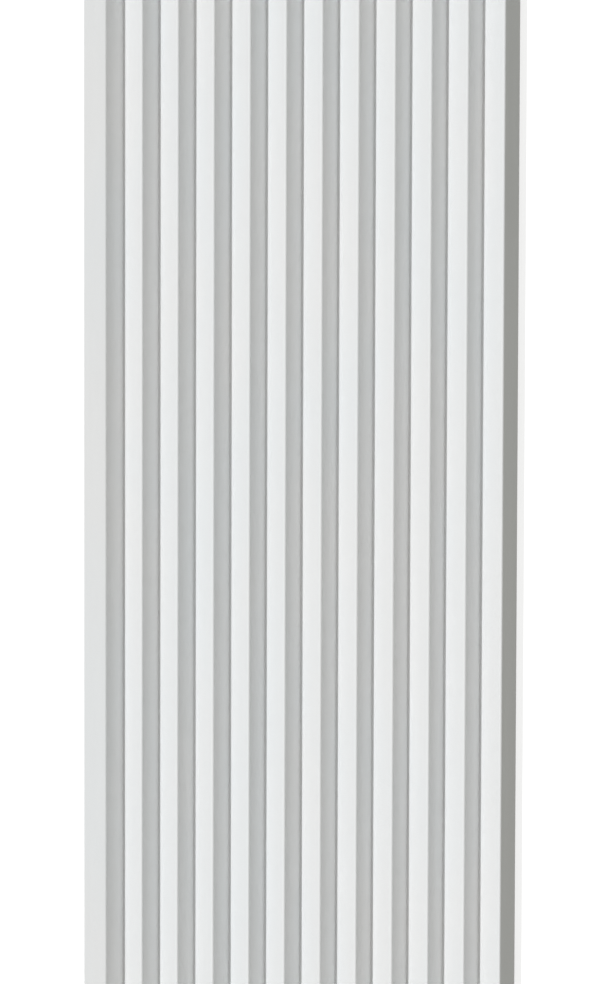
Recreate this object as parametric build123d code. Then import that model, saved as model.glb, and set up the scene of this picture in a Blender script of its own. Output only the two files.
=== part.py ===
from build123d import *
import os

# Ridged wall panel, moulded in one piece. It lies on its back: X runs across the ridges,
# Y runs along them and Z is the thickness. The origin is the middle of the back face.

# Overall sizes of the stock, in millimetres
WIDTH = 250.0
LENGTH = 2000.0
THICKNESS = 18.0

# The ridges: a long gentle flank on the left of each crest and a short steep one on its right
RIDGE_COUNT = 12
RIDGE_HEIGHT = 15.0
STEEP_RUN = 7.8

# Radii of the corners
SHARP = 0.0
CREST_RADIUS = 1.2
VALLEY_RADIUS = 0.4
SHOULDER_RADIUS = 0.6

# Worked out from the sizes above
RIDGE_PITCH = WIDTH / RIDGE_COUNT
GENTLE_RUN = RIDGE_PITCH - STEEP_RUN
PLATE_THICKNESS = THICKNESS - RIDGE_HEIGHT
LEFT_SIDE = -WIDTH / 2
RIGHT_SIDE = WIDTH / 2


def ridge_corners(number):
    """One ridge's crest and the valley on its right, as points and radii."""
    crest = LEFT_SIDE + GENTLE_RUN + number * RIDGE_PITCH
    return [
        ((crest, THICKNESS), CREST_RADIUS),
        ((crest + STEEP_RUN, PLATE_THICKNESS), VALLEY_RADIUS),
    ]


def panel_corners():
    """The cross-section's corners: up the joint side, over the ridges, down the plate's edge."""
    shoulder = ((LEFT_SIDE, THICKNESS), SHOULDER_RADIUS)
    corners = [((LEFT_SIDE, 0), SHARP), shoulder]
    for number in range(RIDGE_COUNT - 1):
        corners += ridge_corners(number)
    last_crest, _ = ridge_corners(RIDGE_COUNT - 1)
    plate_edge = ((RIGHT_SIDE, PLATE_THICKNESS), SHARP)
    corners += [last_crest, plate_edge, ((RIGHT_SIDE, 0), SHARP)]
    return corners


def panel_section():
    """The cross-section as a face that stands across the ridges."""
    points, radii = zip(*panel_corners())
    with BuildSketch(Plane.XZ) as section:
        with BuildLine():
            FilletPolyline(*points, radius=radii, close=True)
        make_face()
    return section.sketch


def ridged_panel():
    """The whole panel: its section drawn out to the stock length and cut square."""
    return extrude(panel_section(), amount=LENGTH / 2, both=True)


os.makedirs("parts", exist_ok=True)
export_step(ridged_panel(), "parts/ridged_panel.step")
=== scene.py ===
import math

import bmesh
import bpy
from bpy.props import FloatProperty, FloatVectorProperty, IntProperty, PointerProperty
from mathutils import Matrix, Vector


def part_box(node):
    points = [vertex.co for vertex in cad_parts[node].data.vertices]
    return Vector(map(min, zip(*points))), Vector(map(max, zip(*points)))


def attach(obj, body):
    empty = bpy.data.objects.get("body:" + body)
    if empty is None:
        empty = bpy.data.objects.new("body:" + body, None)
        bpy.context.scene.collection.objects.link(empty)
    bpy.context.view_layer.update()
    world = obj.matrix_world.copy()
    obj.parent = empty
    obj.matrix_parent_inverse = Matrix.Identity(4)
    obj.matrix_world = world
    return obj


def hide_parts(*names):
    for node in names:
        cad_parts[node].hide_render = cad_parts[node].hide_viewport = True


bl_info = {
    "name": "Ridged wall panel",
    "version": (1, 0, 0),
    "blender": (4, 5, 0),
    "location": "View3D > Sidebar > Wall panel",
    "description": "Models a moulded wall panel with saw-tooth ridges, on a studio floor",
    "category": "Add Mesh",
}

# The panel lies on its back: X runs across the ridges, Y along them, Z is the thickness
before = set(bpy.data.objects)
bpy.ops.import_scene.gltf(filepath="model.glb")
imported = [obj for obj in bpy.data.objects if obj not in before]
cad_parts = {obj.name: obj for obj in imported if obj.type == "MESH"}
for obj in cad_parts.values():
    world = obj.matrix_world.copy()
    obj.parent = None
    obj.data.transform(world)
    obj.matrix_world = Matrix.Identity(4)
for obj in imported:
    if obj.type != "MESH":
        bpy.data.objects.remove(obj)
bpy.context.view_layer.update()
LOW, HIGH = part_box("ridged_panel")
WIDTH, LENGTH, THICKNESS = HIGH - LOW
MILLIMETRE = 0.001

# Places that differ by less than this count as one place
CLOSE = 0.01 * MILLIMETRE

# A face points along an axis where its normal has more than this much of it
POINTS_ALONG = 0.9

# Faces that turn by less than the first are merged, and by less than the second shaded smooth
FLAT_TURN = math.radians(1)
SMOOTH_TURN = math.radians(25)

# How many facets make each rounding
CREST_FACETS = 8
FIRST_CREST_FACETS = 6
VALLEY_FACETS = 4
SHOULDER_FACETS = 6

# The floor's side in metres, and what shows of it: its own glow and a share of the light on it
FLOOR_SIDE = 400
FLOOR_GLOW = 0.7
FLOOR_GREY = (0.52, 0.52, 0.52, 1)

# The key lamp is a sun: its light depends on its turns and width, not on where its handle is
KEY_LAMP_HANDLE = (-1, -0.5, 1.5)
KEY_LAMP_WIDTH = math.radians(1)

# The photograph's long side in pixels, and the film width that a lens is stated for
FRAME_LONG_SIDE = 984
FILM_WIDTH = 36.0

# Where the photograph's camera stood, in metres
CAMERA_PLACE = (0.23, 0.085, 2.1185)

# Its turns in degrees: across about Y, along about X, and roll about its line of sight
CAMERA_TURNS = {"across": 6.224, "along": -3.171, "roll": 0.162}
FOCAL_LENGTH_IN_PIXELS = 3677.7


def length_setting(name, description, default):
    """A setting for a length in metres."""
    return FloatProperty(
        name=name,
        description=description,
        default=default,
        min=0,
        subtype="DISTANCE",
        unit="LENGTH",
    )


def angle_setting(name, description, default):
    """A setting for an angle, with its default in degrees."""
    return FloatProperty(
        name=name,
        description=description,
        default=math.radians(default),
        subtype="ANGLE",
        unit="ROTATION",
    )


def strength_setting(name, description, default):
    """A setting for the strength of a light."""
    return FloatProperty(name=name, description=description, default=default, min=0)


def colour_setting(name, description, default):
    """A setting for the colour of a surface or a light."""
    return FloatVectorProperty(
        name=name, description=description, default=default, size=3, min=0, max=1, subtype="COLOR"
    )


class PanelSizes(bpy.types.PropertyGroup):
    """The ridges' sizes; the width, length and thickness come from the CAD frame."""

    ridge_count: IntProperty(
        name="Ridges", description="How many ridges stand side by side", default=12, min=2
    )
    ridge_height: length_setting(
        "Ridge height", "From the valleys up to the crests' sharp corners", 15 * MILLIMETRE
    )
    steep_run: length_setting(
        "Steep flank run", "How far a steep flank reaches across, crest to valley", 7.8 * MILLIMETRE
    )
    crest_radius: length_setting("Crest radius", "Rounding of the crests", 1.2 * MILLIMETRE)
    valley_radius: length_setting("Valley radius", "Rounding of the valleys", 0.4 * MILLIMETRE)
    shoulder_radius: length_setting(
        "Shoulder radius", "Rounding of the square shoulder's outer edge", 0.6 * MILLIMETRE
    )


class PanelFinish(bpy.types.PropertyGroup):
    """Colours of the primed face, and of the foam at the sawn ends and the back."""

    primer_cool: colour_setting(
        "Primer, cool patches", "White primer where it leans to blue", (0.855, 0.868, 0.872)
    )
    primer_warm: colour_setting(
        "Primer, warm patches", "White primer where it leans to yellow", (0.868, 0.870, 0.868)
    )
    bare_foam: colour_setting(
        "Bare foam", "Polymer foam where it has no primer", (0.87, 0.866, 0.852)
    )


class StudioSettings(bpy.types.PropertyGroup):
    """The key lamp, the even light from all round and the floor."""

    key_tilt: angle_setting(
        "Key lamp tilt", "Angle of the key lamp from straight above, towards the shoulder", 34
    )
    key_swing: angle_setting(
        "Key lamp swing", "Angle of the key lamp from straight above, towards the near end", 18
    )
    key_strength: strength_setting("Key lamp strength", "Light across the key lamp's beam", 1.92)
    key_colour: colour_setting("Key lamp colour", "A slightly cool white", (0.97, 0.98, 1.0))
    surround: strength_setting("Surround", "Strength of the even light from all round", 0.365)
    surround_colour: colour_setting("Surround colour", "A slightly warm white", (1.0, 1.0, 0.96))
    floor_colour: colour_setting(
        "Floor colour", "Colour of the light that the floor gives back", (0.28, 0.28, 0.23)
    )


def deselect_all():
    """Leaves nothing selected, as an operator acts on all that is."""
    bpy.ops.object.select_all(action="DESELECT")


def pick(panel, kind, wanted):
    """In edit mode, selects only the edges, or only the faces, for which wanted is true."""
    bpy.ops.mesh.select_mode(type=kind)
    bpy.ops.mesh.select_all(action="DESELECT")
    mesh = bmesh.from_edit_mesh(panel.data)
    for part in mesh.edges if kind == "EDGE" else mesh.faces:
        if wanted(part):
            part.select = True
    bmesh.update_edit_mesh(panel.data)


def lies_at(edge, across, height):
    """True for an edge along the panel's length, at this place across it and this height."""
    ends = [vertex.co for vertex in edge.verts]
    return all(abs(end.x - across) < CLOSE and abs(end.z - height) < CLOSE for end in ends)


def is_sawn_end(face):
    """True for a face that points along the panel's length."""
    return abs(face.normal.y) > POINTS_ALONG


def is_back(face):
    """True for a face that points down."""
    return face.normal.z < -POINTS_ALONG


def gentle_run(sizes):
    """How far a gentle flank reaches across, from valley to crest."""
    return WIDTH / sizes.ridge_count - sizes.steep_run


def crest_lines(sizes):
    """Places of the crests across the panel. The first gentle flank is the flat shoulder."""
    pitch = WIDTH / sizes.ridge_count
    return [LOW.x + gentle_run(sizes) + number * pitch for number in range(sizes.ridge_count)]


def add_blank():
    """The blank that the ridges are cut from: a bar as large as the whole panel."""
    deselect_all()
    middle = (LOW + HIGH) / 2
    bpy.ops.mesh.primitive_cube_add(size=1, location=middle, scale=(WIDTH, LENGTH, THICKNESS))
    panel = bpy.context.object
    panel.name = "moulded_panel"
    panel.data.name = "moulded_panel"
    bpy.ops.object.transform_apply(location=True, rotation=True, scale=True)
    return panel


def cut_ridges(panel, crests, valleys, depth):
    """Slices the blank lengthwise, sinks the valleys, and merges the back and each end again."""
    bpy.ops.object.mode_set(mode="EDIT")
    for line in crests + valleys[:-1]:
        bpy.ops.mesh.select_all(action="SELECT")
        bpy.ops.mesh.bisect(plane_co=(line, 0, 0), plane_no=(1, 0, 0))
    for line in valleys:
        pick(panel, "EDGE", lambda edge: lies_at(edge, line, HIGH.z))
        bpy.ops.transform.translate(value=(0, 0, -depth))
    pick(panel, "FACE", lambda face: is_back(face) or is_sawn_end(face))
    bpy.ops.mesh.dissolve_limited(angle_limit=FLAT_TURN)
    bpy.ops.object.mode_set(mode="OBJECT")


def round_edges(panel, lines, height, radius, angle, facets):
    """Rounds the lengthwise edges at these places and height, where faces meet at this angle."""
    setback = radius / math.tan(angle / 2)
    bpy.ops.object.mode_set(mode="EDIT")
    pick(panel, "EDGE", lambda edge: any(lies_at(edge, line, height) for line in lines))
    bpy.ops.mesh.bevel(offset_type="OFFSET", offset=setback, segments=facets, affect="EDGES")
    bpy.ops.object.mode_set(mode="OBJECT")


def round_ridges(panel, crests, valleys, sizes):
    """Rounds the crests, the valleys and the shoulder's outer edge."""
    square = math.pi / 2
    steep_lean = math.atan2(sizes.steep_run, sizes.ridge_height)
    gentle_lean = math.atan2(gentle_run(sizes), sizes.ridge_height)
    first_ridge = square + steep_lean
    ridge = steep_lean + gentle_lean
    valley_height = HIGH.z - sizes.ridge_height
    round_edges(panel, crests[:1], HIGH.z, sizes.crest_radius, first_ridge, FIRST_CREST_FACETS)
    round_edges(panel, crests[1:], HIGH.z, sizes.crest_radius, ridge, CREST_FACETS)
    round_edges(panel, valleys[:-1], valley_height, sizes.valley_radius, ridge, VALLEY_FACETS)
    round_edges(panel, [LOW.x], HIGH.z, sizes.shoulder_radius, square, SHOULDER_FACETS)


def smooth_over_roundings(panel):
    """Shades the roundings smooth and keeps the flanks between them flat."""
    deselect_all()
    panel.select_set(True)
    bpy.context.view_layer.objects.active = panel
    bpy.ops.object.shade_smooth_by_angle(angle=SMOOTH_TURN)
    bpy.ops.object.modifier_add(type="WEIGHTED_NORMAL")
    panel.modifiers[-1].keep_sharp = True
    bpy.ops.object.modifier_apply(modifier=panel.modifiers[-1].name)


def new_finish(name):
    """A new material, with its shader node and a source of Object coordinates."""
    finish = bpy.data.materials.new(name)
    finish.use_nodes = True
    nodes = finish.node_tree.nodes
    shader = nodes["Principled BSDF"]
    coordinates = nodes.new("ShaderNodeTexCoord")
    return finish, shader, coordinates


def noise_on(finish, coordinates, repeats, detail):
    """A noise pattern on Object coordinates, with this many repeats a metre along X, Y and Z."""
    tree = finish.node_tree
    place = tree.nodes.new("ShaderNodeMapping")
    place.inputs["Scale"].default_value = repeats
    noise = tree.nodes.new("ShaderNodeTexNoise")
    noise.inputs["Scale"].default_value = 1
    noise.inputs["Detail"].default_value = detail
    tree.links.new(coordinates.outputs["Object"], place.inputs["Vector"])
    tree.links.new(place.outputs["Vector"], noise.inputs["Vector"])
    return noise.outputs["Fac"]


def cells_on(finish, coordinates, repeats):
    """A pattern of closed cells on Object coordinates, with this many in a metre."""
    tree = finish.node_tree
    cells = tree.nodes.new("ShaderNodeTexVoronoi")
    cells.inputs["Scale"].default_value = repeats
    tree.links.new(coordinates.outputs["Object"], cells.inputs["Vector"])
    return cells.outputs["Distance"]


def spread(finish, pattern, between, over):
    """Stretches a pattern's values between two levels over two others."""
    tree = finish.node_tree
    stretch = tree.nodes.new("ShaderNodeMapRange")
    for level, value in zip(("From Min", "From Max", "To Min", "To Max"), (*between, *over)):
        stretch.inputs[level].default_value = value
    tree.links.new(pattern, stretch.inputs["Value"])
    return stretch.outputs["Result"]


def blend_colours(finish, share, first, second):
    """Goes from the first colour to the second as share goes from 0 to 1."""
    tree = finish.node_tree
    mix = tree.nodes.new("ShaderNodeMix")
    mix.data_type = "RGBA"
    mix.inputs["A"].default_value = (*first, 1)
    mix.inputs["B"].default_value = (*second, 1)
    tree.links.new(share, mix.inputs["Factor"])
    return mix.outputs["Result"]


def darker(colour, keep):
    """The colour with only this share of its light kept."""
    return [keep * value for value in colour]


def raise_surface(finish, pattern, height, under=None):
    """A bump of this height in metres, laid over another bump if there is one."""
    tree = finish.node_tree
    bump = tree.nodes.new("ShaderNodeBump")
    bump.inputs["Distance"].default_value = height
    tree.links.new(pattern, bump.inputs["Height"])
    if under is not None:
        tree.links.new(under, bump.inputs["Normal"])
    return bump.outputs["Normal"]


def join_shader(finish, shader, sources):
    """Links each source to the shader's input of that name."""
    for name, source in sources.items():
        finish.node_tree.links.new(source, shader.inputs[name])


def primed_face(colours):
    """White primer: faint cool and warm patches, slight swells, drawn streaks, eggshell grain."""
    finish, shader, coordinates = new_finish("primed face")
    patches = noise_on(finish, coordinates, repeats=(22, 9, 22), detail=2)
    share = spread(finish, patches, between=(0.35, 0.65), over=(0, 1))
    colour = blend_colours(finish, share, colours.primer_cool, colours.primer_warm)
    streaks = noise_on(finish, coordinates, repeats=(420, 5, 420), detail=3)
    roughness = spread(finish, streaks, between=(0.3, 0.7), over=(0.54, 0.66))
    swells = noise_on(finish, coordinates, repeats=(140, 40, 140), detail=1)
    grain = noise_on(finish, coordinates, repeats=(1100, 1100, 1100), detail=3)
    relief = raise_surface(finish, swells, height=0.12 * MILLIMETRE)
    relief = raise_surface(finish, streaks, height=0.05 * MILLIMETRE, under=relief)
    relief = raise_surface(finish, grain, height=0.1 * MILLIMETRE, under=relief)
    join_shader(finish, shader, {"Base Color": colour, "Roughness": roughness, "Normal": relief})
    return finish


def sawn_end(colours):
    """A saw cut through the dense foam: fine closed cells, matt, with the saw's faint lines."""
    finish, shader, coordinates = new_finish("sawn end")
    shader.inputs["Roughness"].default_value = 0.85
    cells = cells_on(finish, coordinates, repeats=1600)
    share = spread(finish, cells, between=(0.1, 0.7), over=(0, 1))
    colour = blend_colours(finish, share, colours.bare_foam, darker(colours.bare_foam, keep=0.92))
    saw_lines = noise_on(finish, coordinates, repeats=(900, 900, 60), detail=2)
    relief = raise_surface(finish, saw_lines, height=0.06 * MILLIMETRE)
    relief = raise_surface(finish, cells, height=0.06 * MILLIMETRE, under=relief)
    join_shader(finish, shader, {"Base Color": colour, "Normal": relief})
    return finish


def bare_back(colours):
    """The unprimed back: the foam's closed skin, with lengthwise drag lines and a faint mottle."""
    finish, shader, coordinates = new_finish("bare back")
    mottle = noise_on(finish, coordinates, repeats=(60, 25, 60), detail=4)
    share = spread(finish, mottle, between=(0.3, 0.7), over=(0, 1))
    colour = blend_colours(finish, share, colours.bare_foam, darker(colours.bare_foam, keep=0.94))
    drag_lines = noise_on(finish, coordinates, repeats=(600, 6, 600), detail=4)
    roughness = spread(finish, drag_lines, between=(0.3, 0.7), over=(0.55, 0.75))
    relief = raise_surface(finish, drag_lines, height=0.1 * MILLIMETRE)
    join_shader(finish, shader, {"Base Color": colour, "Roughness": roughness, "Normal": relief})
    return finish


def dress(panel, finish, wanted):
    """Gives the finish to the faces for which wanted(face) is true."""
    panel.data.materials.append(finish)
    panel.active_material_index = len(panel.data.materials) - 1
    bpy.ops.object.mode_set(mode="EDIT")
    pick(panel, "FACE", wanted)
    bpy.ops.object.material_slot_assign()
    bpy.ops.object.mode_set(mode="OBJECT")


class ModelPanel(bpy.types.Operator):
    """Cut, round and dress the one-piece ridged panel"""

    bl_idname = "wall_panel.model_panel"
    bl_label = "Ridged panel"

    def execute(self, context):
        sizes = context.scene.panel_sizes
        colours = context.scene.panel_finish
        crests = crest_lines(sizes)
        valleys = [crest + sizes.steep_run for crest in crests]
        if abs(valleys[-1] - HIGH.x) > CLOSE or not 0 < sizes.ridge_height < THICKNESS:
            raise ValueError("the ridges don't fit the frame's width and thickness")
        panel = add_blank()
        cut_ridges(panel, crests, valleys, sizes.ridge_height)
        round_ridges(panel, crests, valleys, sizes)
        smooth_over_roundings(panel)
        dress(panel, primed_face(colours), lambda face: True)
        dress(panel, sawn_end(colours), is_sawn_end)
        dress(panel, bare_back(colours), is_back)
        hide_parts("ridged_panel")
        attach(panel, "root")
        return {"FINISHED"}


def seen_background(tree):
    """A value that is 1 where the camera, a mirror or clear glass looks, and 0 for other light."""
    path = tree.nodes.new("ShaderNodeLightPath")
    seen = path.outputs["Is Camera Ray"]
    for other in ("Is Glossy Ray", "Is Transmission Ray"):
        either = tree.nodes.new("ShaderNodeMath")
        either.operation = "MAXIMUM"
        tree.links.new(seen, either.inputs[0])
        tree.links.new(path.outputs[other], either.inputs[1])
        seen = either.outputs["Value"]
    return seen


def part_look_from_light(tree, light, look, output):
    """Gives the background this look where it is looked at, and this light everywhere else."""
    choice = tree.nodes.new("ShaderNodeMixShader")
    tree.links.new(seen_background(tree), choice.inputs["Fac"])
    tree.links.new(light, choice.inputs[1])
    tree.links.new(look, choice.inputs[2])
    tree.links.new(choice.outputs["Shader"], output.inputs["Surface"])


def floor_paint(colour):
    """White to look at, with the panel's faint shadow. It gives back light of this colour."""
    paint = bpy.data.materials.new("studio floor")
    paint.use_nodes = True
    tree = paint.node_tree
    tree.nodes.clear()
    dull = tree.nodes.new("ShaderNodeBsdfDiffuse")
    dull.inputs["Color"].default_value = (*colour, 1)
    glow = tree.nodes.new("ShaderNodeEmission")
    glow.inputs["Strength"].default_value = FLOOR_GLOW
    shadowed = tree.nodes.new("ShaderNodeBsdfDiffuse")
    shadowed.inputs["Color"].default_value = FLOOR_GREY
    white = tree.nodes.new("ShaderNodeAddShader")
    tree.links.new(glow.outputs["Emission"], white.inputs[0])
    tree.links.new(shadowed.outputs["BSDF"], white.inputs[1])
    output = tree.nodes.new("ShaderNodeOutputMaterial")
    part_look_from_light(tree, dull.outputs["BSDF"], white.outputs["Shader"], output)
    return paint


def lay_floor(colour):
    """A floor that runs past the far edge of every view."""
    deselect_all()
    bpy.ops.mesh.primitive_plane_add(size=FLOOR_SIDE, location=(0, 0, LOW.z))
    floor = bpy.context.object
    floor.name = "studio_floor"
    floor.data.materials.append(floor_paint(colour))


def light_surround(strength, colour):
    """Even light from all round, which looks white where it shows."""
    world = bpy.data.worlds.new("surround")
    bpy.context.scene.world = world
    world.use_nodes = True
    tree = world.node_tree
    light = tree.nodes["Background"]
    light.inputs["Color"].default_value = (*colour, 1)
    light.inputs["Strength"].default_value = strength
    white = tree.nodes.new("ShaderNodeBackground")
    white.inputs["Color"].default_value = (1, 1, 1, 1)
    output = tree.nodes["World Output"]
    part_look_from_light(tree, light.outputs["Background"], white.outputs["Background"], output)


def hang_key_lamp(studio):
    """The key lamp on the shoulder's side, so narrow that the ridges' shadows are crisp."""
    turns = (studio.key_swing, -studio.key_tilt, 0)
    bpy.ops.object.light_add(type="SUN", location=KEY_LAMP_HANDLE, rotation=turns)
    key = bpy.context.object
    key.name = "key lamp"
    key.data.energy = studio.key_strength
    key.data.color = studio.key_colour
    key.data.angle = KEY_LAMP_WIDTH


def stand_camera():
    """The camera at the photograph's viewpoint, looking down on the panel."""
    turns = {name: math.radians(angle) for name, angle in CAMERA_TURNS.items()}
    bpy.ops.object.camera_add(location=CAMERA_PLACE)
    camera = bpy.context.object
    camera.name = "viewpoint"
    camera.rotation_mode = "ZXY"
    camera.rotation_euler = (turns["along"], turns["across"], turns["roll"])
    camera.data.sensor_fit = "AUTO"
    camera.data.sensor_width = FILM_WIDTH
    camera.data.lens = FOCAL_LENGTH_IN_PIXELS * FILM_WIDTH / FRAME_LONG_SIDE
    bpy.context.scene.camera = camera


class SetStage(bpy.types.Operator):
    """Lay the floor, light the surround, hang the key lamp and stand the camera"""

    bl_idname = "wall_panel.set_stage"
    bl_label = "Studio"

    def execute(self, context):
        studio = context.scene.studio_settings
        context.scene.view_settings.view_transform = "Standard"
        lay_floor(studio.floor_colour)
        light_surround(studio.surround, studio.surround_colour)
        hang_key_lamp(studio)
        stand_camera()
        return {"FINISHED"}


class SidebarPanel(bpy.types.Panel):
    """Lists the panel's settings and the steps that make it."""

    bl_idname = "VIEW3D_PT_ridged_wall_panel"
    bl_label = "Ridged wall panel"
    bl_space_type = "VIEW_3D"
    bl_region_type = "UI"
    bl_category = "Wall panel"

    def draw(self, context):
        scene = context.scene
        for group in (scene.panel_sizes, scene.panel_finish, scene.studio_settings):
            box = self.layout.box()
            for name in group.__annotations__:
                box.prop(group, name)
        self.layout.operator(ModelPanel.bl_idname)
        self.layout.operator(SetStage.bl_idname)


CLASSES = (PanelSizes, PanelFinish, StudioSettings, ModelPanel, SetStage, SidebarPanel)


def register():
    for kind in CLASSES:
        bpy.utils.register_class(kind)
    bpy.types.Scene.panel_sizes = PointerProperty(type=PanelSizes)
    bpy.types.Scene.panel_finish = PointerProperty(type=PanelFinish)
    bpy.types.Scene.studio_settings = PointerProperty(type=StudioSettings)


def unregister():
    del bpy.types.Scene.studio_settings
    del bpy.types.Scene.panel_finish
    del bpy.types.Scene.panel_sizes
    for kind in reversed(CLASSES):
        bpy.utils.unregister_class(kind)


def main():
    register()
    bpy.ops.wall_panel.model_panel()
    bpy.ops.wall_panel.set_stage()


if __name__ == "__main__":
    main()
